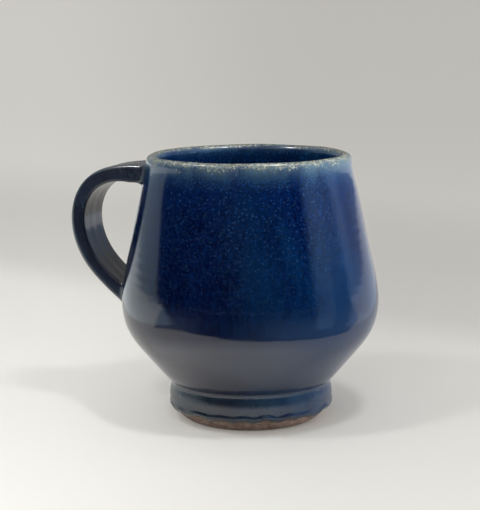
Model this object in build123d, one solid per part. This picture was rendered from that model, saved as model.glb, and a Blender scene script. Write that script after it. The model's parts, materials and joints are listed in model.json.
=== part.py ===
"""Stoneware mug: thrown vessel, turned foot, pulled strap handle, and the glaze coats over them.

Millimetres. The vessel's axis is Z, the foot stands on Z = 0, and the handle points along -X.
Every piece is its own solid, and neighbouring pieces meet face to face.
"""
from build123d import *

import os
from math import exp

# Overall height and the thickness of the fired glaze.
mug_height = 95.0
glaze_coat = 0.5

# Foot: a rounded ring under a V-shaped groove. Pairs are radius and height.
foot_height = 12.7
foot_radius = 28.7
foot_widest_height = 9.3
foot_round_radius = 9.7
foot_shoulder = (28.4, 11.9)
foot_inner_radius = 18.0
foot_inner_chamfer = 0.8
base_underside = 7.0
groove_radius = 27.9

# The glaze on the foot ends at this height in a rolled edge.
glaze_line = 4.4
rolled_edge_radius = 0.75
rolled_edge_reach = 27.5

# Bare clay outlines of the wall, as radius and height, from the foot upwards.
cone_start = (28.1, 13.9)
outside_points = [(36.7, 23.7), (43.4, 33.0), (45.3, 41.0), (44.1, 53.0), (40.6, 70.2), (37.4, 84.5)]
floor_height = 13.4
floor_edge = (20.4, 15.4)
inside_points = [(33.4, 26.9), (40.1, 37.0), (41.2, 44.0), (38.9, 59.0), (35.7, 74.0)]

# Rounded lip.
lip_radius = 1.7
lip_centre_radius = 34.3
lip_centre_height = mug_height - glaze_coat - lip_radius
inside_lean_at_lip = (-0.1, 1)

# Handle path as reach from the axis and height: out from under the rim, down, and back to the belly.
handle_points = [
    (30.0, 86.4),
    (40.0, 87.4),
    (49.6, 87.2),
    (57.3, 83.8),
    (61.8, 77.1),
    (62.9, 69.0),
    (60.9, 60.6),
    (56.3, 53.3),
    (50.1, 47.4),
    (43.5, 42.9),
    (36.0, 39.2),
]
section_count = 25
strap_width = 17.2
upper_strap_thickness = 4.7
lower_strap_thickness = 4.1
strap_corner_radius = 1.8

# The handle swells where it is joined to the wall. Shares are parts of the path's length.
upper_wall_share = 0.06
lower_wall_share = 0.90
root_flare_share = 0.07
upper_root_swell = 3.0
lower_root_swell = 1.2
root_width_swell = 1.4

# Cuts that part the joined ends from the free strap.
upper_root_reach = 45.0
lower_root_reach = 50.5
between_roots_height = 62.0


def outside_line(coat):
    """Outside of the wall from the groove to the crest of the lip, under a coat of this thickness."""
    cone_foot = (cone_start[0] + coat, cone_start[1])
    wall_points = [(radius + coat, height) for radius, height in outside_points]
    lip_side = (lip_centre_radius + lip_radius + coat, lip_centre_height)
    crest = (lip_centre_radius, lip_centre_height + lip_radius + coat)
    groove = Line((groove_radius + coat, foot_height), cone_foot)
    wall = Spline(cone_foot, *wall_points, lip_side, tangents=[(1, 1), (0, 1)])
    lip = RadiusArc(lip_side, crest, -lip_radius - coat)
    return [groove, wall, lip]


def inside_line(coat):
    """Inside of the wall from the middle of the floor to the crest of the lip, under a coat."""
    floor_middle = (0, floor_height + coat)
    floor_side = (floor_edge[0] - coat, floor_edge[1] + coat)
    wall_points = [(radius - coat, height) for radius, height in inside_points]
    lip_side = (lip_centre_radius - lip_radius - coat, lip_centre_height)
    crest = (lip_centre_radius, lip_centre_height + lip_radius + coat)
    ends = [(1, 0), inside_lean_at_lip]
    wall = Spline(floor_middle, floor_side, *wall_points, lip_side, tangents=ends, tangent_scalars=[1, 1])
    lip = RadiusArc(lip_side, crest, lip_radius + coat)
    return [wall, lip]


def foot_line(coat):
    """Outside of the foot from its standing edge up to the groove, under a coat."""
    round_centre = foot_radius - foot_round_radius
    radius = foot_round_radius + coat
    standing_edge = (round_centre + (radius**2 - foot_widest_height**2) ** 0.5, 0)
    widest = (round_centre + radius, foot_widest_height)
    shoulder = (foot_shoulder[0] + coat, foot_shoulder[1])
    side = RadiusArc(standing_edge, widest, -radius)
    return [side, Line(widest, shoulder), Line(shoulder, (groove_radius + coat, foot_height))]


def turned(edges, corners):
    """Solid of revolution about Z: the edges, closed through the corner points, taken in order."""
    start = edges[-1] @ 1
    border = list(edges)
    for corner in corners:
        border.append(Line(start, corner))
        start = corner
    border.append(Line(start, edges[0] @ 0))
    return revolve(make_face(Plane.XZ * Curve(border)), Axis.Z)


def crest_height(coat):
    return lip_centre_height + lip_radius + coat


def outer_block(coat):
    """Everything inside the vessel's outer surface, hollow included."""
    return turned(foot_line(coat) + outside_line(coat), [(0, crest_height(coat)), (0, 0)])


def inner_block(coat):
    """The hollow of the vessel, up to the height of the lip."""
    return turned(inside_line(coat), [(0, crest_height(coat))])


def box_between(low, high):
    size = [high[axis] - low[axis] for axis in range(3)]
    return Pos(*low) * Box(*size, align=(Align.MIN, Align.MIN, Align.MIN))


def upright_cylinder(radius, low, high):
    on_base = (Align.CENTER, Align.CENTER, Align.MIN)
    return Pos(0, 0, low) * Cylinder(radius, high - low, align=on_base)


def thrown_body():
    """Wall, lip and floor, with a round base that fills the top of the foot."""
    wall_block = turned(outside_line(0), [(0, crest_height(0)), (0, foot_height)])
    base = upright_cylinder(foot_inner_radius, base_underside, foot_height)
    return wall_block + base - inner_block(0)


def foot_ring():
    bore_top = (foot_inner_radius, foot_height)
    bore_edge = (foot_inner_radius, foot_inner_chamfer)
    standing_inner_edge = (foot_inner_radius + foot_inner_chamfer, 0)
    return turned(foot_line(0), [bore_top, bore_edge, standing_inner_edge])


def swelling(share, wall_share, outwards):
    """How much of the full swelling the handle has here: all of it inside the wall, none far outside."""
    distance = max((share - wall_share) * outwards, 0)
    return exp(-((distance / root_flare_share) ** 2))


def handle_block(coat):
    """The whole handle, run on into the wall at both ends, under a coat."""
    path = Plane.XZ * Spline(*[(-reach, height) for reach, height in handle_points])
    sections = []
    for index in range(section_count):
        share = index / (section_count - 1)
        upper = swelling(share, upper_wall_share, 1)
        lower = swelling(share, lower_wall_share, -1)
        strap_thickness = upper_strap_thickness + (lower_strap_thickness - upper_strap_thickness) * share
        thickness = strap_thickness + upper_root_swell * upper + lower_root_swell * lower
        width = strap_width + root_width_swell * (upper + lower)
        outline = RectangleRounded(width + 2 * coat, thickness + 2 * coat, strap_corner_radius + coat)
        across = Plane(origin=path @ share, x_dir=(0, 1, 0), z_dir=path % share)
        sections.append(across * outline)
    return loft(sections)


def upper_root_zone():
    low = (-upper_root_reach, -mug_height, between_roots_height)
    return box_between(low, (0, mug_height, mug_height))


def lower_root_zone():
    return box_between((-lower_root_reach, -mug_height, 0), (0, mug_height, between_roots_height))


def lining_lip_zone():
    """The lining's share of the glaze on the lip: everything nearer the axis than the crest."""
    return upright_cylinder(lip_centre_radius, lip_centre_height, mug_height)


def outer_glaze(handle):
    """Coat over wall, groove and foot, ending above the standing edge in a rolled edge."""
    bare_zone = box_between((-mug_height, -mug_height, 0), (mug_height, mug_height, glaze_line))
    rolled_edge = Pos(0, 0, glaze_line + rolled_edge_radius) * Torus(rolled_edge_reach, rolled_edge_radius)
    coated = outer_block(glaze_coat) - bare_zone + rolled_edge
    return coated - outer_block(0) - inner_block(0) - lining_lip_zone() - handle


def lining_glaze():
    lip_coat = lining_lip_zone() & outer_block(glaze_coat)
    return inner_block(0) + lip_coat - thrown_body() - inner_block(glaze_coat)


def handle_glaze(handle):
    return handle_block(glaze_coat) - outer_block(glaze_coat) - handle


def save(name, shape):
    solids = shape.solids()
    assert len(solids) == 1, f"{name} has {len(solids)} solids"
    export_step(solids[0], f"parts/{name}.step")


def main():
    os.makedirs("parts", exist_ok=True)
    handle = handle_block(0)
    free_handle = handle - outer_block(0)
    save("thrown_body", thrown_body())
    save("foot_ring", foot_ring())
    save("handle_strap", free_handle - upper_root_zone() - lower_root_zone())
    save("upper_handle_root", free_handle & upper_root_zone())
    save("lower_handle_root", free_handle & lower_root_zone())
    save("outer_glaze", outer_glaze(handle))
    save("lining_glaze", lining_glaze())
    save("handle_glaze", handle_glaze(handle))


main()
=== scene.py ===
import json
import math

import bpy
import numpy as np
from mathutils import Matrix, Vector
from mathutils.bvhtree import BVHTree


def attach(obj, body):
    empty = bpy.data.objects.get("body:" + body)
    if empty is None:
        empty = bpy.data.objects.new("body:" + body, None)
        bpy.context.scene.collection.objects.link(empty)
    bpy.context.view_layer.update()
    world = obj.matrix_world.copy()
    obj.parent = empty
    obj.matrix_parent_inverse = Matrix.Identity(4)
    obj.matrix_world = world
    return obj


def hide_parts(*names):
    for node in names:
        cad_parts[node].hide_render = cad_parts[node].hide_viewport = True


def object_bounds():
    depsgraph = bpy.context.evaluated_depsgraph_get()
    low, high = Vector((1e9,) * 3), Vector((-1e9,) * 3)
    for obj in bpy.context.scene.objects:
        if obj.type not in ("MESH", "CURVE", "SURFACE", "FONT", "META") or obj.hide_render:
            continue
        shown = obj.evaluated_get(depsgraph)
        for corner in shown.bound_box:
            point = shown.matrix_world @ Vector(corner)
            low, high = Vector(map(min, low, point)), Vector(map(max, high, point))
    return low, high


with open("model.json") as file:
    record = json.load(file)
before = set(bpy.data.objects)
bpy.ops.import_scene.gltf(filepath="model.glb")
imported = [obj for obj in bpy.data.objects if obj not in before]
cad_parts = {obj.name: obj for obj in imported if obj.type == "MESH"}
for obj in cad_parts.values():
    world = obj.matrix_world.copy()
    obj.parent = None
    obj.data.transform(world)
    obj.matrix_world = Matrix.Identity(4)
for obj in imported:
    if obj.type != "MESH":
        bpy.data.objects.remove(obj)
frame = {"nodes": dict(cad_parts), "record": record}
cad_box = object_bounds()
lip_height = cad_box[1].z

# Camera, as seen from the mug's axis: angles written in degrees, lengths in metres, lens in millimetres.
camera_turn = math.radians(18)
camera_distance = 0.5823
camera_height = 0.1539
camera_pitch = math.radians(9.30)
camera_yaw = math.radians(0.34)
camera_roll = math.radians(0.557)
camera_lens = 116.9

# Level directions as the camera faces the mug.
right = Vector((math.cos(camera_turn), math.sin(camera_turn), 0))
front = Vector((math.sin(camera_turn), -math.cos(camera_turn), 0))

# Lengths in metres for the turned pieces.
millimetre = 0.001
millimetres_in_metre = 1000
same_place = 1e-6
turn_steps = 288
dense_spacing = 0.05 * millimetre
air_row_spacing = 0.6 * millimetre
lining_row_spacing = 1.3 * air_row_spacing
clay_row_spacing = 0.45 * millimetre
row_bend = math.radians(4)
corner_angle = math.radians(12)
glaze_softening = 0.7 * millimetre
clay_softening = 0.12 * millimetre
coat_thickness = 0.42 * millimetre

# Throwing marks and wander of the hand, in metres.
throwing_pitch = 3.1 * millimetre
throwing_depth = 0.008 * millimetre
wall_wander = 0.10 * millimetre
crest_wander = 0.15 * millimetre
crest_reach = 9 * millimetre
crest_end = 1.5 * millimetre
calm_lip = 3 * millimetre
inward_bias = 1.6

# Wavering rolled edge of the outer glaze, in metres; roll_rise is in roll widths.
edge_wander = 0.75 * millimetre
edge_start = 0.8 * millimetre
edge_reach = 3.6 * millimetre
roll_swell = 0.75 * millimetre
roll_width = 1 * millimetre
roll_rise = 1.2
marks_start = 2 * millimetre
marks_full = 9 * millimetre

# Bare foot, in metres.
grit_depth = 0.06 * millimetre
grit_size = 0.0012
trimming_depth = 0.02 * millimetre
trimming_pitch = 0.9 * millimetre
foot_side_top = 0.011

# Handle, in metres and counts.
handle_rings = 150
handle_points_round = 56
corner_points = 7
station_spacing = 0.25 * millimetre
handle_coat = 0.5 * millimetre
hidden_depth = 0.45 * millimetre
inner_corner = 1.1 * millimetre
outer_corner = 1.9 * millimetre
hidden_corner = 1.5 * millimetre
root_fillet = 3.0 * millimetre
root_sink = 0.3 * millimetre
fillet_rings = 9
pulling_depth = 0.12 * millimetre
run_on_stations = 59
heading_stations = 8
path_blur = 10


# ---------------------------------------------------------------- outlines read from the frame


def seam(node):
    """Outline of a turned CAD node in the half plane y = 0, x > 0, and whether it closes."""
    tolerance = 0.002 * millimetre
    mesh = frame["nodes"][node].data
    spots = {}
    for vertex in mesh.vertices:
        if abs(vertex.co.y) < tolerance and vertex.co.x > -tolerance:
            spots[vertex.index] = (round(vertex.co.x, 6), round(vertex.co.z, 6))
    near = {}
    for edge in mesh.edges:
        a, b = (spots.get(index) for index in edge.vertices)
        if a is None or b is None or a == b or a[0] + b[0] < tolerance:
            continue
        near.setdefault(a, set()).add(b)
        near.setdefault(b, set()).add(a)
    ends = [spot for spot in near if len(near[spot]) == 1]
    line = [max(ends or near, key=lambda spot: spot[1])]
    while True:
        following = [spot for spot in near[line[-1]] if spot not in line]
        if not following:
            return np.array(line), not ends
        line.append(max(following))


def lengths_along(line):
    return np.concatenate([[0.0], np.cumsum(np.hypot(*np.diff(line, axis=0).T))])


def at_lengths(line, wanted):
    along = lengths_along(line)
    return np.column_stack([np.interp(wanted, along, column) for column in line.T])


def curved(run):
    """A smooth curve through the points of one run, densely sampled."""
    if len(run) < 3:
        steps = max(int(np.hypot(*(run[-1] - run[0])) / dense_spacing), 2)
        return run[0] + np.linspace(0, 1, steps)[:, None] * (run[-1] - run[0])
    gaps = np.hypot(*np.diff(run, axis=0).T)
    slopes = np.diff(run, axis=0) / gaps[:, None]
    weight = (gaps[:-1] / (gaps[:-1] + gaps[1:]))[:, None]
    middle = slopes[:-1] * (1 - weight) + slopes[1:] * weight
    tangents = np.vstack([2 * slopes[0] - middle[0], middle, 2 * slopes[-1] - middle[-1]])
    pieces = []
    for index, gap in enumerate(gaps):
        t = np.linspace(0, 1, max(int(gap / dense_spacing), 2))[:, None]
        start, end = run[index], run[index + 1]
        rise = (3 - 2 * t) * t**2
        leave = t * (1 - t) ** 2 * gap
        arrive = t**2 * (t - 1) * gap
        between_ends = start * (1 - rise) + end * rise
        pieces.append(between_ends + leave * tangents[index] + arrive * tangents[index + 1])
    return np.vstack(pieces)


def headings(line):
    """Direction of each step of a line, as a running angle."""
    steps = np.diff(line, axis=0)
    return np.unwrap(np.arctan2(steps[:, 1], steps[:, 0]))


def bell_curve(offsets):
    """Weights of a moving average, from each step's offset in widths of the bell."""
    bell = np.exp(-0.5 * offsets**2)
    return bell / bell.sum()


def smooth_line(points, softening):
    """Curve through the points, with its corners rounded off by a softening length."""
    corners = [i + 1 for i, bend in enumerate(np.abs(np.diff(headings(points)))) if bend > corner_angle]
    stops = [0] + corners + [len(points) - 1]
    runs = [curved(points[a : b + 1]) for a, b in zip(stops, stops[1:])]
    line = np.vstack(runs)
    least_step = 1e-9
    line = line[np.concatenate([[True], np.hypot(*np.diff(line, axis=0).T) > least_step])]
    count = int(lengths_along(line)[-1] / dense_spacing)
    line = at_lengths(line, np.linspace(0, lengths_along(line)[-1], count))
    reach = int(4 * softening / dense_spacing)
    bell = bell_curve(np.arange(-reach, reach + 1) * dense_spacing / softening)
    before = 2 * line[0] - line[reach:0:-1]
    after = 2 * line[-1] - line[-2 : -reach - 2 : -1]
    padded = np.vstack([before, line, after])
    return np.column_stack([np.convolve(column, bell, "valid") for column in padded.T])


def spaced(line, spacing):
    """Rows along a dense line: closer together where it bends."""
    bend = np.abs(np.gradient(headings(line))) / row_bend
    density = np.hypot(*np.diff(line, axis=0).T) / spacing + bend
    total = np.concatenate([[0.0], np.cumsum(density)])
    rows = np.interp(np.linspace(0, total[-1], int(total[-1]) + 2), total, np.arange(len(line)))
    return np.column_stack([np.interp(rows, np.arange(len(line)), column) for column in line.T])


# ---------------------------------------------------------------- unevenness left by the hand


def ripple(angle, height, seed, turns, wavelength, count=24):
    """Smooth random ripple, about -1 to 1, that closes round the turn; same result for the same seed."""
    draw = np.random.default_rng(seed)
    total = np.zeros(np.broadcast(angle, height).shape)
    for _ in range(count):
        round_turn = draw.integers(turns[0], turns[1] + 1)
        up_wall = draw.uniform(-1, 1) / wavelength
        phase = draw.uniform(0, 2 * math.pi)
        total += np.cos(round_turn * angle + 2 * math.pi * up_wall * height + phase)
    return total / math.sqrt(count)


def fade(value, low, high):
    """0 below low, 1 above high, smooth between."""
    t = np.clip((value - low) / (high - low), 0, 1)
    return t * t * (3 - 2 * t)


def below_lip(height):
    """1 on the wall, fading to 0 where the lip starts."""
    return 1 - fade(height, lip_height - calm_lip, lip_height)


def throwing_marks(angle, height, seed):
    """Fine spiral ridges that the fingers leave in the wall, always inwards."""
    waves = 8
    close_pitch = 0.37 * throwing_pitch
    drift = 2.5 * ripple(angle, height, seed, (1, 3), 0.03, waves)
    strength = 0.6 + 0.4 * ripple(angle, height, seed + 1, (1, 4), 0.02, waves)
    spiral = np.cos(2 * math.pi * height / throwing_pitch - angle + drift)
    close = np.cos(2 * math.pi * height / close_pitch - angle + 2 * drift)
    return throwing_depth * strength * (0.7 * spiral + 0.3 * close - 1)


def crest_drop(angle, height):
    """How far the lip sinks here, shared by both coats so that they meet."""
    drop = crest_wander * (ripple(angle, 0 * height, 11, (1, 9), 1) - inward_bias) / 2
    return np.minimum(drop, 0) * fade(height, lip_height - crest_reach, lip_height - crest_end)


# ---------------------------------------------------------------- meshes


def new_object(name, points, faces, sharp_edges=()):
    mesh = bpy.data.meshes.new(name)
    mesh.from_pydata(points.tolist(), [], faces)
    mesh.validate()
    for polygon in mesh.polygons:
        polygon.use_smooth = True
    if len(sharp_edges):
        wanted = {tuple(sorted(edge)) for edge in sharp_edges}
        mark = mesh.attributes.new("sharp_edge", "BOOLEAN", "EDGE")
        for edge in mesh.edges:
            mark.data[edge.index].value = tuple(sorted(edge.vertices)) in wanted
    piece = bpy.data.objects.new(name, mesh)
    bpy.context.collection.objects.link(piece)
    return piece


def grid_faces(rows, steps, close_rows):
    """Quads between neighbouring rows of a grid that closes round each row."""
    faces = []
    for row in range(rows if close_rows else rows - 1):
        this, following = row * steps, (row + 1) % rows * steps
        for step in range(steps):
            after = (step + 1) % steps
            faces.append((this + step, this + after, following + after, following + step))
    return faces


def ring_edges(start, steps):
    """Edges round one closed row of a grid, from its first point's index."""
    return [(start + step, start + (step + 1) % steps) for step in range(steps)]


def face_outwards(piece):
    """Turns the faces over if the closed mesh is inside out."""
    mesh = piece.data
    volume = 0.0
    for polygon in mesh.polygons:
        corners = [mesh.vertices[index].co for index in polygon.vertices]
        for second, third in zip(corners[1:], corners[2:]):
            volume += corners[0].dot(second.cross(third))
    if volume < 0:
        mesh.flip_normals()


def lathe(name, rows, closed, reshape, sharp_rows=()):
    """Turned solid from an outline of radius and height; reshape(angle, radius, height) makes it uneven."""
    poles = not closed
    body = rows[1:-1] if poles else rows
    angle = np.linspace(0, 2 * math.pi, turn_steps, endpoint=False)[None, :]
    radius = np.repeat(body[:, :1], turn_steps, axis=1)
    height = np.repeat(body[:, 1:], turn_steps, axis=1)
    radius, height = reshape(angle, radius, height)
    points = np.stack([radius * np.cos(angle), radius * np.sin(angle), height], axis=-1).reshape(-1, 3)
    faces = grid_faces(len(body), turn_steps, closed)
    if poles:
        first, last = len(points), len(points) + 1
        points = np.vstack([points, [[0, 0, rows[0][1]], [0, 0, rows[-1][1]]]])
        base = (len(body) - 1) * turn_steps
        for step in range(turn_steps):
            after = (step + 1) % turn_steps
            faces.append((first, after, step))
            faces.append((last, base + step, base + after))
    sharp = []
    for row in sharp_rows:
        sharp += ring_edges((row - (1 if poles else 0)) * turn_steps, turn_steps)
    piece = new_object(name, points, faces, sharp)
    face_outwards(piece)
    return piece


# ---------------------------------------------------------------- turned pieces


def split_coat(node):
    """Air side of a glaze coat, from its far end to the crest of the lip, and its clay side back again."""
    line, closed = seam(node)
    crest = int(np.argmax(line[:, 1]))
    if not closed:
        return line[: crest + 1], line[crest + 1 :]
    line = np.roll(line, -crest, axis=0)
    if abs(line[1, 0] - line[0, 0]) < same_place:
        line = np.vstack([line[:1], line[:0:-1]])
    edge = np.flatnonzero(line[:, 1] < line[:, 1].min() + same_place)[0]
    return line[edge::-1], line[:edge:-1]


def foot_side():
    """Outside of the bare foot from its standing edge up to the shoulder."""
    line, _ = seam("foot_ring")
    start = int(np.argmin(line[:, 1] - line[:, 0]))
    line = np.roll(line, -start, axis=0)
    if line[1, 1] - line[0, 1] < same_place:
        line = np.vstack([line[:1], line[:0:-1]])
    top = int(np.argmax(line[:, 1] > foot_side_top))
    return line[: top + 1]


def radius_at(side, height):
    return np.interp(height, side[:, 1], side[:, 0])


def outer_coat():
    """Glaze over wall, groove and foot, with a wavering rolled edge where it stopped running."""
    air, _ = split_coat("outer_glaze")
    rows = spaced(smooth_line(air, glaze_softening), air_row_spacing)
    air_count = len(rows)
    way = np.gradient(rows, axis=0)
    way /= np.hypot(*way.T)[:, None]
    behind = rows + coat_thickness * np.column_stack([-way[:, 1], way[:, 0]])
    rows = np.vstack([rows, behind[::-1]])
    is_air = (np.arange(len(rows)) < air_count)[:, None]
    edge_height = air[0, 1]
    foot = foot_side()

    def reshape(angle, radius, height):
        wander = wall_wander * (ripple(angle, height, 5, (2, 5), 0.05) - inward_bias) / 2
        marks = throwing_marks(angle, height, 3) + wander
        marks = marks * fade(height, edge_height + marks_start, edge_height + marks_full) * below_lip(height)
        roll = np.exp(-(((height - edge_height) / roll_width - roll_rise) ** 2)) * roll_swell
        radius = radius + np.where(is_air, marks + roll, 0)
        height = height + crest_drop(angle, height) * is_air
        wave = edge_wander * ripple(angle, 0 * height, 21, (2, 26), 1) * 0.6
        wave = wave * (1 - fade(height, edge_height + edge_start, edge_height + edge_reach))
        lowered = height + wave
        radius = radius + radius_at(foot, lowered) - radius_at(foot, height)
        return radius, lowered

    piece = lathe("outer_glaze_coat", rows, True, reshape, (air_count - 1, air_count))
    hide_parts("outer_glaze")
    return piece


def lining_coat():
    """Glaze over the floor and the inside of the wall, up to the crest of the lip."""
    air, clay = split_coat("lining_glaze")
    rows = spaced(smooth_line(air, glaze_softening), lining_row_spacing)
    air_count = len(rows)
    rows = np.vstack([rows, clay])
    is_air = (np.arange(len(rows) - 2) < air_count - 1)[:, None]
    calm_middle, floor_side = 0.006, 0.02

    def reshape(angle, radius, height):
        marks = throwing_marks(angle, height, 31) * below_lip(height)
        marks = marks * fade(radius, calm_middle, floor_side)
        radius = radius + np.where(is_air, marks, 0)
        return radius, height + crest_drop(angle, height) * is_air

    piece = lathe("lining_glaze_coat", rows, False, reshape, (air_count - 1, air_count))
    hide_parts("lining_glaze")
    return piece


def foot_clay():
    """Bare turned foot: gritty clay with trimming lines."""
    line, _ = seam("foot_ring")
    closed_line = np.vstack([line, line[:1]])
    rows = spaced(smooth_line(closed_line, clay_softening), clay_row_spacing)[:-1]
    side_start, side_full, side_fading, side_end = 0.0002, 0.0012, 0.0112, 0.0120
    hollow_side, outer_side = 0.0235, 0.0245

    def reshape(angle, radius, height):
        grit = ripple(angle, height, 41, (30, 140), grit_size, 70)
        wobble = ripple(angle, height, 43, (1, 3), 0.02)
        lines = np.cos(2 * math.pi * (height + 0.4 * radius) / trimming_pitch + wobble)
        inwards = grit_depth * (0.5 * grit - 0.9) + trimming_depth * (lines - 1)
        on_side = fade(height, side_start, side_full) * (1 - fade(height, side_fading, side_end))
        outside = fade(radius, hollow_side, outer_side)
        radius = radius + inwards * on_side * (2 * outside - 1)
        return radius, height

    piece = lathe("foot_ring_clay", rows, True, reshape)
    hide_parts("foot_ring")
    return piece


# ---------------------------------------------------------------- handle


def handle_skins():
    """Inner and outer skin lines of the CAD handle in the plane y = 0, from the upper to the lower root."""
    mesh = frame["nodes"]["handle_glaze"].data
    tree = BVHTree.FromPolygons([v.co for v in mesh.vertices], [p.vertices[:] for p in mesh.polygons])
    gap = next(row for row in frame["record"]["physics"]["openings"] if row["name"] == "finger_gap")
    low, high = (Vector(corner) for corner in gap["box_m"])
    centre = (low + high) / 2
    centre.y = 0
    beyond = 0.06
    inner, outer = [], []
    for degrees in np.arange(60, 300, 1.5):
        turn = math.radians(degrees)
        away = Vector((math.cos(turn), 0, math.sin(turn)))
        near = tree.ray_cast(centre, away)[0]
        far = tree.ray_cast(centre + away * beyond, -away)[0]
        if near is None or far is None or (far - centre).length - (near - centre).length < 2 * handle_coat:
            continue
        inner.append((near.x, near.z))
        outer.append((far.x, far.z))
    return tree, np.array(inner), np.array(outer)


def blurred(values, reach):
    """Moving average along the first axis with pinned, straight-running ends."""
    bell = bell_curve(np.arange(-3 * reach, 3 * reach + 1) / reach)
    before = 2 * values[:1] - values[3 * reach : 0 : -1]
    after = 2 * values[-1:] - values[-2 : -3 * reach - 2 : -1]
    padded = np.concatenate([before, values, after])
    columns = padded.reshape(len(padded), -1).T
    return np.column_stack([np.convolve(column, bell, "valid") for column in columns]).reshape(values.shape)


def unit(vector):
    return vector / np.linalg.norm(vector)


def handle_path():
    """Centre line of the handle with half its width and thickness, run on straight into the wall."""
    tree, inner, outer = handle_skins()
    inner_line = curved(blurred(inner, 2))
    outer_line = curved(blurred(outer, 2))
    inner_line = at_lengths(inner_line, np.arange(0, lengths_along(inner_line)[-1], station_spacing))
    apart = np.hypot(*(outer_line[None, :, :] - inner_line[:, None, :]).transpose(2, 0, 1))
    nearest = np.argmin(apart, axis=1)
    middle = blurred((inner_line + outer_line[nearest]) / 2, path_blur)
    half_thickness = blurred(np.min(apart, axis=1) / 2, path_blur)
    travelled = lengths_along(middle)
    stations = np.arange(0, travelled[-1], station_spacing)
    half_thickness = np.interp(stations, travelled, half_thickness)
    middle = at_lengths(middle, stations)
    beside = 0.04
    sideways = [tree.ray_cast(Vector((x, beside, z)), Vector((0, -1, 0)))[0] for x, z in middle]
    half_width = blurred(np.array([hit.y for hit in sideways]), path_blur)
    run_on = np.arange(1, run_on_stations + 1)[:, None] * station_spacing
    start_way = middle[0] - middle[heading_stations]
    start_way = start_way / np.hypot(*start_way)
    end_way = middle[-1] - middle[-1 - heading_stations]
    end_way = end_way / np.hypot(*end_way)
    middle = np.vstack([(middle[0] + run_on * start_way)[::-1], middle, middle[-1] + run_on * end_way])
    half_thickness = np.pad(half_thickness, run_on_stations, "edge")
    half_width = np.pad(half_width, run_on_stations, "edge")
    return middle, half_width, half_thickness


def section_template():
    """Round one section: place of each point between the corner centres, and its outward direction."""
    across = (handle_points_round - 4 * corner_points - 2) // 2
    quarter = np.linspace(0, math.pi / 2, corner_points)
    rows = []
    for side, turn in enumerate([(1, 1), (-1, 1), (-1, -1), (1, -1)]):
        for angle in quarter + side * math.pi / 2:
            rows.append((*turn, math.cos(angle), math.sin(angle)))
        if side in (0, 2):
            for share in np.linspace(1, -1, across + 2)[1:-1]:
                rows.append((share * turn[0], turn[1], 0, turn[1]))
        if side == 1:
            rows.append((-1, 0, -1, 0))
        if side == 3:
            rows.append((1, 0, 1, 0))
    return np.array(rows).T


def pulling_ridges(share, along):
    """Long shallow ridges of a pulled strap, from -1 to 0; share is the place across it, -1 to 1."""
    sway = 0.8 * np.sin(along / 0.011)
    return 0.5 * np.cos(9 * share + 1.5 + sway) * (1 - share**2) - 0.5


def handle_skin(middle, half_width, half_thickness, corner_inside, corner_outside, pulled):
    """Skin points of the handle: stations along it by points round its section."""
    place_across, place_through, way_across, way_through = section_template()
    heading = np.gradient(middle, axis=0)
    heading /= np.hypot(*heading.T)[:, None]
    outwards = np.column_stack([-heading[:, 1], heading[:, 0]])
    if outwards[len(outwards) // 2, 0] > 0:
        outwards = -outwards
    corner = np.where(place_through > 0, corner_outside, corner_inside)
    across = place_across * (half_width[:, None] - corner) + way_across * corner
    through = place_through * (half_thickness[:, None] - corner) + way_through * corner
    along = np.arange(len(middle))[:, None] * station_spacing
    sink = pulled * pulling_ridges(across / half_width[:, None], along)
    across = across + sink * way_across
    through = through + sink * way_through
    x = middle[:, :1] + outwards[:, :1] * through
    z = middle[:, 1:] + outwards[:, 1:] * through
    return np.stack([x, across, z], axis=-1), outwards


def wall_side():
    """Glazed outside of the wall from the groove up to the crest."""
    air, _ = split_coat("outer_glaze")
    above_groove = 14 * millimetre
    return curved(air[air[:, 1] > above_groove])


def contact(skin_line, wall, end):
    """Station where one line of the skin comes out of the wall, counted from the given end."""
    outside = np.hypot(skin_line[:, 0], skin_line[:, 1]) - radius_at(wall, skin_line[:, 2])
    stations = np.arange(len(skin_line))
    if end < 0:
        outside, stations = outside[::-1], stations[::-1]
    first = int(np.argmax(outside > 0))
    before, after = outside[first - 1], outside[first]
    share = -before / (after - before)
    return stations[first - 1] + share * (stations[first] - stations[first - 1])


def at_station(line, station):
    stations = np.arange(len(line))
    return np.stack([np.interp(station, stations, line[:, axis]) for axis in range(3)], axis=-1)


def fillet(line, wall, meeting, inwards, section_way):
    """Curve from the wall up onto the skin line, tangent to both, and the station where it ends."""
    end_station = meeting + inwards * (root_fillet / station_spacing)
    corner = at_station(line, meeting)
    on_strap = at_station(line, end_station)
    radius = math.hypot(corner[0], corner[1])
    rise = 0.5 * millimetre
    slope = (radius_at(wall, corner[2] + rise) - radius_at(wall, corner[2] - rise)) / (2 * rise)
    wall_normal = unit(np.array([corner[0] / radius, corner[1] / radius, -slope]))
    way = unit(section_way - section_way.dot(wall_normal) * wall_normal)
    on_wall = corner + way * root_fillet
    wanted = radius_at(wall, on_wall[2]) - root_sink
    on_wall[:2] *= wanted / math.hypot(on_wall[0], on_wall[1])
    t = np.linspace(0, 1, fillet_rings)[:, None]
    return (1 - t) ** 2 * on_wall + 2 * t * (1 - t) * corner + t**2 * on_strap, end_station


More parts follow.
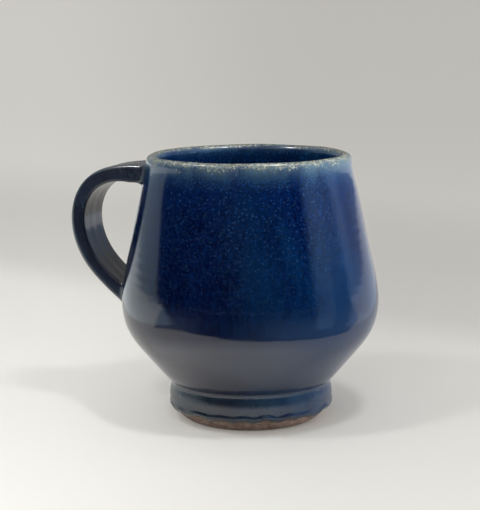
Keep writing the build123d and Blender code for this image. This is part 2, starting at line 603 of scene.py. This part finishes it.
def handle_coat_piece():
    """Glaze over the strap handle, swept up onto the wall at both roots."""
    middle, half_width, half_thickness = handle_path()
    skin, outwards = handle_skin(
        middle, half_width, half_thickness, inner_corner, outer_corner, pulling_depth
    )
    hidden_width, hidden_thickness = half_width - hidden_depth, half_thickness - hidden_depth
    lining, _ = handle_skin(middle, hidden_width, hidden_thickness, hidden_corner, outer_corner, 0)
    _, _, way_across, way_through = section_template()
    points_round = skin.shape[1]
    hidden_rings = handle_rings // 2
    wall = wall_side()
    outer_rings = np.zeros((2 * (fillet_rings - 1) + handle_rings, points_round, 3))
    inner_rings = np.zeros((hidden_rings, points_round, 3))
    for point in range(points_round):
        line = skin[:, point]
        curves, stations = [], []
        for inwards in (1, -1):
            meeting = contact(line, wall, inwards)
            out_x, out_z = outwards[int(round(meeting))]
            through = way_through[point]
            section_way = np.array([out_x * through, way_across[point], out_z * through])
            curve, station = fillet(line, wall, meeting, inwards, section_way)
            curves.append(curve)
            stations.append(station)
        along = at_station(line, np.linspace(stations[0], stations[1], handle_rings))
        outer_rings[:, point] = np.vstack([curves[0][:-1], along, curves[1][-2::-1]])
        hidden = lining[:, point]
        upper, lower = contact(hidden, wall, 1) - 1, contact(hidden, wall, -1) + 1
        inner_rings[:, point] = at_station(hidden, np.linspace(lower, upper, hidden_rings))
    rings = np.concatenate([outer_rings, inner_rings])
    faces = grid_faces(len(rings), points_round, True)
    sharp = []
    for ring in (0, len(outer_rings) - 1):
        sharp += ring_edges(ring * points_round, points_round)
    piece = new_object("handle_glaze_coat", rings.reshape(-1, 3), faces, sharp)
    face_outwards(piece)
    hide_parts("handle_glaze")
    return piece


# ---------------------------------------------------------------- shader nodes


def display(red, green, blue):
    """Linear colour of an 8-bit display colour."""
    scaled = (value / 255 for value in (red, green, blue))
    linear = [value / 12.92 if value <= 0.04045 else ((value + 0.055) / 1.055) ** 2.4 for value in scaled]
    return (*linear, 1)


def node(tree, kind, inputs=(), **settings):
    made = tree.nodes.new("ShaderNode" + kind)
    for name, value in settings.items():
        setattr(made, name, value)
    for socket, value in dict(inputs).items():
        if isinstance(value, bpy.types.NodeSocket):
            tree.links.new(value, made.inputs[socket])
        else:
            made.inputs[socket].default_value = value
    return made


def maths(tree, operation, first, second=0.0, third=0.0, clamp=False):
    inputs = {0: first, 1: second, 2: third}
    return node(tree, "Math", inputs, operation=operation, use_clamp=clamp).outputs[0]


def times(tree, first, second):
    return maths(tree, "MULTIPLY", first, second)


def blend(tree, share, first, second, mode="MIX"):
    inputs = {0: share, 6: first, 7: second}
    return node(tree, "Mix", inputs, data_type="RGBA", blend_type=mode).outputs[2]


def ramp(tree, value, stops):
    made = node(tree, "ValToRGB", {0: value})
    elements = made.color_ramp.elements
    while len(elements) < len(stops):
        elements.new(1.0)
    for element, (place, colour) in zip(elements, stops):
        element.position = place
        element.color = colour
    return made.outputs[0]


def between(tree, value, low, high):
    """Smooth step from 0 at low to 1 at high; low may be the larger."""
    inputs = {"Value": value, "From Min": low, "From Max": high}
    return node(tree, "MapRange", inputs, interpolation_type="SMOOTHSTEP").outputs[0]


def object_place(tree):
    """Object coordinates in metres."""
    return node(tree, "TexCoord").outputs["Object"]


def object_points(tree, stretch=1):
    """Object coordinates in millimetres, with features stretched upwards."""
    scale = [millimetres_in_metre, millimetres_in_metre, millimetres_in_metre / stretch]
    return node(tree, "Mapping", {"Vector": object_place(tree), "Scale": scale}).outputs[0]


def distance_along(tree, way):
    """How far a place lies along a direction, in metres."""
    inputs = {0: object_place(tree), 1: way}
    return node(tree, "VectorMath", inputs, operation="DOT_PRODUCT").outputs["Value"]


def noise(tree, points, size, detail=2.0, roughness=0.5):
    """Noise whose features are about this many millimetres."""
    inputs = {"Vector": points, "Scale": 1 / size, "Detail": detail, "Roughness": roughness}
    return node(tree, "TexNoise", inputs).outputs[0]


def spots(tree, points, spacing, radius, share):
    """1 inside scattered spots of this radius; share is the part of the cells that has one."""
    cells = node(tree, "TexVoronoi", {"Vector": points, "Scale": 1 / spacing})
    near = times(tree, cells.outputs["Distance"], spacing / radius)
    inside = maths(tree, "SUBTRACT", 1.4, near, clamp=True)
    red = node(tree, "SeparateColor", {0: cells.outputs["Color"]}).outputs[0]
    return times(tree, inside, maths(tree, "LESS_THAN", red, share))


def height_millimetres(tree):
    """Millimetres above a level half a millimetre under the table."""
    z = node(tree, "SeparateXYZ", {0: object_place(tree)}).outputs[2]
    return maths(tree, "MULTIPLY_ADD", z, millimetres_in_metre, 0.5)


def bump(tree, height, distance, under=None):
    """Bump of a height field of 0 to 1, over this distance in millimetres."""
    inputs = {"Height": height, "Distance": distance * millimetre}
    if under is not None:
        inputs["Normal"] = under
    return node(tree, "Bump", inputs).outputs[0]


def new_material(name):
    material = bpy.data.materials.new(name)
    material.use_nodes = True
    tree = material.node_tree
    return material, tree, tree.nodes["Principled BSDF"]


# ---------------------------------------------------------------- glaze and clay


# Fired glaze: sizes, spacings and depths below the lip in millimetres.
stops_depth = 90
glaze_ior = 1.66
run_stretch, streak_stretch = 2.2, 9
patch_size, cloud_size, mottle_size, speckle_size, streak_size = 26, 9, 1.8, 0.75, 1.1
dot_spacing, dot_radius = 1.0, 0.24
pale_spacing, pale_radius = 4.5, 0.16
iron_spacing, iron_radius = 1.3, 0.26
granule_size = 0.8
foot_thinning = (79.5, 82)


def glaze_stops(rows):
    """Ramp stops from rows of depth below the lip in millimetres and display colour."""
    return [(depth / stops_depth, display(*colour)) for depth, colour in rows]


def lip_depth(tree, points):
    """Millimetres below the lip, from a level that wanders a little."""
    below = maths(tree, "SUBTRACT", lip_height * millimetres_in_metre, height_millimetres(tree))
    wandering = maths(tree, "MULTIPLY_ADD", noise(tree, points, 5, 2), 2, below)
    return maths(tree, "SUBTRACT", wandering, 1.0)


def rim_wear(tree, points, depth, spread):
    """How far the glaze has broken to bare-looking clay here, densest at the lip."""
    grain = noise(tree, points, 0.6, 3, 0.8)
    patches = noise(tree, points, 3.5, 2)
    worn = maths(tree, "ADD", grain, times(tree, patches, 0.35))
    limit = maths(tree, "MULTIPLY_ADD", depth, 0.25 / spread, 0.60)
    return between(tree, maths(tree, "SUBTRACT", worn, limit), 0.0, 0.08)


def thick_glaze_and_side_light(tree, runs):
    """Where the glaze lies thicker and greener in broad patches, kept to the side that the side fill lights:
    partly the glaze's own tone, partly painted light.
    """
    patches = between(tree, noise(tree, runs, patch_size, 1), 0.38, 0.60)
    # Painted light: the greener patches show only on the side that faces the side fill.
    painted_light_side = between(tree, distance_along(tree, right), -0.016, 0.006)
    return times(tree, patches, painted_light_side)


def glaze_colour(tree, points, depth, body, stops):
    """Body colour of the glaze by depth, with clouds, mottling, streaks, speckles and dots."""
    dark, light, teal = body
    runs = object_points(tree, run_stretch)
    colour = ramp(tree, maths(tree, "DIVIDE", depth, stops_depth, clamp=True), stops)
    colour = blend(tree, times(tree, thick_glaze_and_side_light(tree, runs), 0.8), colour, teal, "ADD")
    clouds = between(tree, noise(tree, runs, cloud_size, 3, 0.55), 0.42, 0.68)
    colour = blend(tree, clouds, colour, dark, "MULTIPLY")
    mottle = between(tree, noise(tree, runs, mottle_size, 3, 0.6), 0.40, 0.80)
    colour = blend(tree, times(tree, mottle, 0.30), colour, light, "ADD")
    speckle = between(tree, noise(tree, points, speckle_size, 1), 0.50, 0.60)
    colour = blend(tree, times(tree, speckle, between(tree, depth, 80, 15)), colour, light, "ADD")
    long_runs = object_points(tree, streak_stretch)
    streaks = between(tree, noise(tree, long_runs, streak_size, 2, 0.6), 0.46, 0.66)
    colour = blend(tree, times(tree, streaks, 0.28), colour, light, "ADD")
    dots = spots(tree, points, dot_spacing, dot_radius, 0.8)
    dots = times(tree, dots, between(tree, depth, 75, 6))
    colour = blend(tree, times(tree, dots, 0.21), colour, display(58, 92, 112))
    pale = spots(tree, points, pale_spacing, pale_radius, 0.22)
    return blend(tree, times(tree, pale, 0.55), colour, display(110, 140, 150))


def worn_colour(tree, points, break_colour):
    """Grainy colour where the glaze has broken: pale and darker granules with iron specks."""
    mixed = between(tree, noise(tree, points, granule_size, 2), 0.36, 0.64)
    granules = blend(tree, mixed, break_colour[0], break_colour[1])
    iron = times(tree, spots(tree, points, iron_spacing, iron_radius, 0.45), 0.8)
    return blend(tree, iron, granules, display(48, 36, 28))


def glaze(name, body, break_colour, top_stops, spread, satin):
    """Glossy fired glaze: mottled body colour, breaking pale and grainy at the lip."""
    material, tree, shader = new_material(name)
    points = object_points(tree)
    depth = lip_depth(tree, points)
    worn = rim_wear(tree, points, depth, spread)
    colour = glaze_colour(tree, points, depth, body, top_stops)
    colour = blend(tree, worn, colour, worn_colour(tree, points, break_colour))
    tree.links.new(colour, shader.inputs["Base Color"])
    rough = maths(tree, "MULTIPLY_ADD", noise(tree, points, 2.5, 2), 0.08, satin)
    thin_on_foot = between(tree, depth, *foot_thinning)
    rough = maths(tree, "ADD", rough, times(tree, thin_on_foot, 0.16))
    rough = maths(tree, "ADD", rough, times(tree, worn, 0.14))
    tree.links.new(rough, shader.inputs["Roughness"])
    peel = bump(tree, noise(tree, points, 7, 1), 0.02)
    peel = bump(tree, noise(tree, points, 1.0, 2), 0.014, peel)
    grain = times(tree, noise(tree, points, 0.45, 2), worn)
    tree.links.new(bump(tree, grain, 0.08, peel), shader.inputs["Normal"])
    shader.inputs["IOR"].default_value = glaze_ior
    return material


def stoneware(name):
    """Bare fired clay: grey-brown and pinkish, gritty, with iron specks and scorched patches."""
    material, tree, shader = new_material(name)
    points = object_points(tree)
    body = blend(tree, noise(tree, points, 4, 4, 0.6), display(72, 60, 54), display(108, 93, 83))
    grains = between(tree, noise(tree, points, 0.7, 2, 0.7), 0.5, 0.66)
    body = blend(tree, times(tree, grains, 0.6), body, display(158, 142, 126))
    scorch = maths(tree, "MULTIPLY_ADD", noise(tree, points, 2.2, 3), 2.4, 0.5)
    scorch = between(tree, scorch, 2.4, 0.9)
    body = blend(tree, times(tree, scorch, 0.85), body, display(60, 32, 24))
    specks = times(tree, spots(tree, points, 1.6, 0.2, 0.4), 0.75)
    body = blend(tree, specks, body, display(52, 38, 32))
    tree.links.new(body, shader.inputs["Base Color"])
    rough = maths(tree, "MULTIPLY_ADD", noise(tree, points, 1.2, 2), 0.2, 0.72)
    tree.links.new(rough, shader.inputs["Roughness"])
    grit = bump(tree, noise(tree, points, 0.35, 4, 0.7), 0.09)
    tree.links.new(bump(tree, noise(tree, points, 1.8, 2), 0.10, grit), shader.inputs["Normal"])
    return material


# ---------------------------------------------------------------- studio


white, grey = (1, 0.99, 0.96, 1), (0.74, 0.94, 1.0, 1)
cool, sky = (0.55, 0.72, 1.0, 1), (0.36, 0.62, 0.95, 1)
card_bottom, card_top = -0.06, 0.5


def in_studio(to_right, to_front, height):
    """Point by its place as the camera faces the mug."""
    return right * to_right + front * to_front + Vector((0, 0, height))


def emission(name, colour, see_through):
    """Light as strong as the card's glow attribute, over whatever is behind it or hiding it."""
    material = bpy.data.materials.new(name)
    material.use_nodes = True
    tree = material.node_tree
    tree.nodes.clear()
    strength = node(tree, "Attribute", attribute_name="glow").outputs["Fac"]
    light = node(tree, "Emission", {"Color": colour, "Strength": strength}).outputs[0]
    if see_through:
        light = node(tree, "AddShader", {0: light, 1: node(tree, "BsdfTransparent").outputs[0]}).outputs[0]
    output = node(tree, "OutputMaterial")
    tree.links.new(light, output.inputs[0])
    return material


def card(name, points, faces, glow, colour, see_through=True):
    """A studio card that shows only in the glaze; glow is the strength of its light at each point."""
    piece = new_object(name, np.array([tuple(in_studio(*point)) for point in points]), faces)
    attribute = piece.data.attributes.new("glow", "FLOAT", "POINT")
    for value, strength in zip(attribute.data, glow):
        value.value = strength
    piece.data.materials.append(emission(name, colour, see_through))
    piece.visible_camera = False
    piece.visible_diffuse = False
    piece.visible_shadow = False
    piece.visible_transmission = False
    piece.visible_volume_scatter = False


def strip_faces(rows, columns):
    """Quads of an open grid whose points run along each row."""
    faces = []
    for row in range(rows - 1):
        for column in range(columns - 1):
            start = row * columns + column
            faces.append((start, start + 1, start + columns + 1, start + columns))
    return faces


def soft_card(name, corners, colour, glow, margin):
    """Flat card that fades out over a margin, a share of the way to its middle."""
    outline = np.array(corners, float)
    inner = outline + margin * (outline.mean(axis=0) - outline)
    count = len(outline)
    faces = [tuple(range(count, 2 * count))]
    for index in range(count):
        after = (index + 1) % count
        faces.append((index, after, count + after, count + index))
    card(name, np.vstack([outline, inner]), faces, [0] * count + [glow] * count, colour)


def curved_card(name, turns, heights, distance, colour, glow):
    """Curved upright card; turns in degrees from the camera's side to the right, glow for each height."""
    steps, fade_steps = 24, 4
    points, strengths = [], []
    for step in range(steps + 1):
        turn = math.radians(turns[0] + (turns[1] - turns[0]) * step / steps)
        end_fade = min(step, steps - step, fade_steps) / fade_steps
        for height, strength in zip(heights, glow):
            points.append((distance * math.sin(turn), distance * math.cos(turn), height))
            strengths.append(strength * end_fade)
    faces = [(a, d, c, b) for a, b, c, d in strip_faces(steps + 1, len(heights))]
    card(name, points, faces, strengths, colour)


def floor():
    """Pale paper with painted light: lighter at the left, and a painted shadow of the mug behind it on the
    right.
    """
    radius, steps = 20.0, 96
    turns = [2 * math.pi * step / steps for step in range(steps)]
    points = np.array([(radius * math.cos(turn), radius * math.sin(turn), 0) for turn in turns])
    piece = new_object("studio_floor", points, [tuple(range(steps))])
    material, tree, shader = new_material("studio_floor")
    far_off = maths(tree, "ABSOLUTE", distance_along(tree, -front))
    widening = maths(tree, "MULTIPLY_ADD", far_off, 1.7, 1.0)
    to_left = maths(tree, "DIVIDE", distance_along(tree, -right), widening)
    # Painted light: the paper is made lighter towards the left, where the light comes from.
    shade, light = (0.78, 0.77, 0.745, 1), (0.93, 0.92, 0.89, 1)
    colour = blend(tree, between(tree, to_left, -0.03, 0.08), shade, light)
    # Painted shadow of the mug, cast back and to the right onto the paper.
    to_far_right = distance_along(tree, 0.64 * right - 0.77 * front)
    painted_mug_shadow = times(tree, between(tree, to_far_right, 0.12, 0.20), between(tree, to_far_right, 0.60, 0.30))
    colour = blend(tree, painted_mug_shadow, colour, (0.85, 0.85, 0.855, 1), "MULTIPLY")
    tree.links.new(colour, shader.inputs["Base Color"])
    shader.inputs["Roughness"].default_value = 0.9
    shader.inputs["Specular IOR Level"].default_value = 0.1
    piece.data.materials.append(material)


def surroundings():
    """Room light, brightest at the horizon and below, that the glaze doesn't reflect."""
    world = bpy.data.worlds.new("studio")
    world.use_nodes = True
    tree = world.node_tree
    background = tree.nodes["Background"]
    background.inputs["Color"].default_value = (1.0, 0.985, 0.955, 1)
    direction = node(tree, "TexCoord").outputs["Generated"]
    upward = node(tree, "SeparateXYZ", {0: direction}).outputs[2]
    low = maths(tree, "POWER", maths(tree, "SUBTRACT", 1.0, upward, clamp=True), 2.0)
    tree.links.new(maths(tree, "MULTIPLY_ADD", low, 3.0, 0.16), background.inputs["Strength"])
    world.cycles_visibility.glossy = False
    bpy.context.scene.world = world


def paper(table_white):
    """The dark room past the front edge of the paper that the mug stands on, as the glaze shows it."""
    edge = [(-0.150, 0.02), (-0.140, 0.064), (-0.116, 0.092), (-0.08, 0.101), (-0.04, 0.106), (0.0, 0.107)]
    edge += [(0.036, 0.097), (0.064, 0.080), (0.092, 0.05), (0.118, 0.016), (0.19, -0.03)]
    lift = 0.0004
    scales = (0.87, 0.90, 0.92, 1.5, 3, 8, 60)
    glow = (0, 0, 0.42, 0.34, 0.18, 0.05, 0)
    share = (1, 0.9, 0.7, 0.3, 0.15, 0.45, 0.8, 0.9, 0.9, 0.9, 0.9)
    points = [(x * scale, y * scale, lift) for scale in scales for x, y in edge]
    strengths = [strength * part for strength in glow for part in share]
    card("paper_edge", points, strip_faces(len(scales), len(edge)), strengths, table_white, False)


def floor_glow(radii, glow, colour):
    """Light paper close in front of the mug, as the glaze shows it."""
    steps, fade_steps = 24, 6
    first_turn, sweep = -100, 160
    lift = 0.0002
    points, strengths = [], []
    for radius, strength in zip(radii, glow):
        for step in range(steps + 1):
            turn = math.radians(first_turn + sweep * step / steps)
            points.append((radius * math.sin(turn), radius * math.cos(turn), lift))
            strengths.append(strength * min(step, steps - step, fade_steps) / fade_steps)
    card("floor_glow", points, strip_faces(len(radii), steps + 1), strengths, colour)


def tent_left():
    """Upright card at the left with a slanting lower edge."""
    place = -0.150
    flap = [(0.085, -0.03), (0.08, 0.010), (0.069, 0.023), (0.046, 0.035), (0.024, 0.065), (0.013, 0.078)]
    flap += [(-0.002, 0.098), (-0.02, 0.13), (-0.03, card_top), (-0.4, card_top), (-0.4, -0.03)]
    soft_card("tent_left", [(place, y, z) for y, z in flap], grey, 0.50, 0.16)


def tent_right():
    """Upright card at the right, running back and outwards."""
    near, far = (0.124, 0.02), (0.20, -0.36)
    corners = [(*near, card_bottom), (*far, card_bottom), (*far, card_top), (*near, card_top)]
    soft_card("tent_right", corners, cool, 0.45, 0.06)


def tent_roof():
    corners = [(-0.6, -0.6, card_top), (0.6, -0.6, card_top), (0.6, 0.7, card_top), (-0.6, 0.7, card_top)]
    soft_card("tent_roof", corners, white, 0.50, 0.05)


def tent():
    """The light tent and the table in front of it, as the glaze shows them."""
    paper(cool)
    tent_left()
    curved_card("tent_back", (145, 208), (-0.05, 0.0, 0.24, 0.42), 0.42, white, (0.25, 0.28, 0.28, 0))
    tent_right()
    side_heights = (card_bottom, 0.035, 0.06, 0.085, 0.12, card_top)
    curved_card("tent_side", (46, 98), side_heights, 0.125, sky, (0, 0.03, 0.1, 0.5, 0.7, 0.7))
    curved_card("side_band", (48, 68), (card_bottom, 0.02, 0.12, card_top), 0.13, sky, (0.1, 0.45, 0.2, 0.2))
    floor_glow((0.03, 0.042, 0.06, 0.075, 0.088), (0, 0.26, 0.52, 0.25, 0.12), white)
    curved_card("room_front", (-100, 45), (0.0, 0.2), 0.60, sky, (0.006, 0.006))
    tent_roof()


def area_light(name, place, target_height, size, power, colour, in_glaze):
    """Round lamp aimed at a height on the mug's axis."""
    data = bpy.data.lights.new(name, "AREA")
    data.shape = "DISK"
    data.size = size
    data.energy = power
    data.color = colour
    light = bpy.data.objects.new(name, data)
    light.location = place
    light.rotation_mode = "QUATERNION"
    light.rotation_quaternion = (Vector((0, 0, target_height)) - place).to_track_quat("-Z", "Y")
    light.visible_glossy = in_glaze
    bpy.context.collection.objects.link(light)
    return light


def overhead_lamp(name, to_right):
    """A lamp whose glint and halo show on the lip, and the light that gives the shadow beside the foot."""
    neutral = (1, 1, 1)
    glint = area_light(name, in_studio(to_right, 0.0, 0.42), 0.09, 0.05, 0.28, neutral, True)
    glint.visible_diffuse = False
    reach, height = 0.07, 0.43
    square = ((-1, -1), (1, -1), (1, 1), (-1, 1))
    corners = [(to_right + reach * x, reach * y, height) for x, y in square]
    soft_card(name + "_glow", corners, white, 9, 0.5)
    area_light(name + "_shade", in_studio(to_right, 0.17, 0.40), 0.04, 0.06, 0.34, neutral, False)


def studio():
    """Builds floor, room, cards and lamps; returns the lamp that is meant for the mug alone."""
    floor()
    surroundings()
    tent()
    warm = (1, 0.985, 0.955)
    area_light("low_front", in_studio(-0.235, 0.94, 0.24), 0.03, 0.50, 2.5, warm, False)
    area_light("high_front", in_studio(-0.14, 0.78, 0.62), 0.03, 0.50, 0.5, warm, False)
    fill = area_light("side_fill", in_studio(0.45, 0.02, 0.12), 0.04, 0.30, 6.0, (0.9, 0.95, 1), False)
    overhead_lamp("lamp_left", -0.20)
    overhead_lamp("lamp_right", 0.08)
    return fill


def camera():
    data = bpy.data.cameras.new("camera")
    data.lens = camera_lens
    seen_from = bpy.data.objects.new("camera", data)
    place = front * camera_distance + Vector((0, 0, camera_height))
    forward = -front * math.cos(camera_yaw) - right * math.sin(camera_yaw)
    forward = forward * math.cos(camera_pitch) - Vector((0, 0, math.sin(camera_pitch)))
    level = forward.cross(Vector((0, 0, 1))).normalized()
    upward = level.cross(forward)
    rightward = level * math.cos(camera_roll) - upward * math.sin(camera_roll)
    upward = level * math.sin(camera_roll) + upward * math.cos(camera_roll)
    axes = [rightward, upward, -forward]
    turned = Matrix([[axis[row] for axis in axes] for row in range(3)])
    seen_from.matrix_world = Matrix.Translation(place) @ turned.to_4x4()
    bpy.context.collection.objects.link(seen_from)
    bpy.context.scene.camera = seen_from


# ---------------------------------------------------------------- assembly


granules = (display(128, 130, 116), display(66, 72, 70))
vessel_body = (display(165, 180, 215), display(0, 14, 38), display(0, 20, 34))


def cobalt_material():
    # The last stops, 88.4 to 90 mm below the lip, darken the rolled glaze edge at the foot: partly dark
    # pooled glaze, partly painted shade under the roll.
    stops = glaze_stops([
        (0, (76, 90, 92)), (1.6, (50, 68, 78)), (3.4, (33, 52, 68)), (5.6, (12, 31, 56)),
        (9, (0, 10, 42)), (20, (0, 5, 34)), (50, (0, 3, 27)), (79, (1, 8, 30)),
        (81, (10, 22, 32)), (87, (9, 20, 29)), (88.4, (0, 10, 22)), (90, (0, 4, 12)),
    ])
    return glaze("cobalt_glaze", vessel_body, granules, stops, 3.7, 0.085)


def lining_material():
    stops = glaze_stops([
        (0, (46, 64, 76)), (1.4, (20, 40, 60)), (3.4, (5, 22, 48)), (7, (1, 13, 42)),
        (20, (0, 9, 36)), (80, (0, 8, 32)),
    ])
    return glaze("lining_glaze", vessel_body, granules, stops, 1.1, 0.085)


def handle_material():
    stops = glaze_stops([(0, (20, 25, 36)), (20, (13, 18, 32)), (60, (9, 14, 28))])
    body = (display(150, 150, 160), display(14, 18, 24), display(4, 8, 14))
    return glaze("handle_glaze", body, granules, stops, 0.5, 0.15)


def dress(piece, material):
    """Gives a piece its one material."""
    piece.data.materials.clear()
    piece.data.materials.append(material)


def main():
    camera()
    fill = studio()
    cobalt = cobalt_material()
    lining = lining_material()
    dark_glaze = handle_material()
    clay = stoneware("bare_stoneware")

    handle = handle_coat_piece()
    pieces = [
        (outer_coat(), cobalt, "cobalt_glaze"),
        (lining_coat(), lining, "lining_glaze"),
        (handle, dark_glaze, "handle_glaze"),
        (foot_clay(), clay, "bare_stoneware"),
    ]
    for piece, material, slot_name in pieces:
        dress(piece, material)
        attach(piece, "root")
    for name in ("thrown_body", "handle_strap", "upper_handle_root", "lower_handle_root"):
        clay_node = frame["nodes"][name]
        for slot in clay_node.material_slots:
            slot.material = clay
    lit_by_fill = bpy.data.collections.new("lit_by_fill")
    for piece, _, _ in pieces:
        lit_by_fill.objects.link(piece)
    fill.light_linking.receiver_collection = lit_by_fill

    bpy.context.scene.view_settings.view_transform = "Standard"


main()
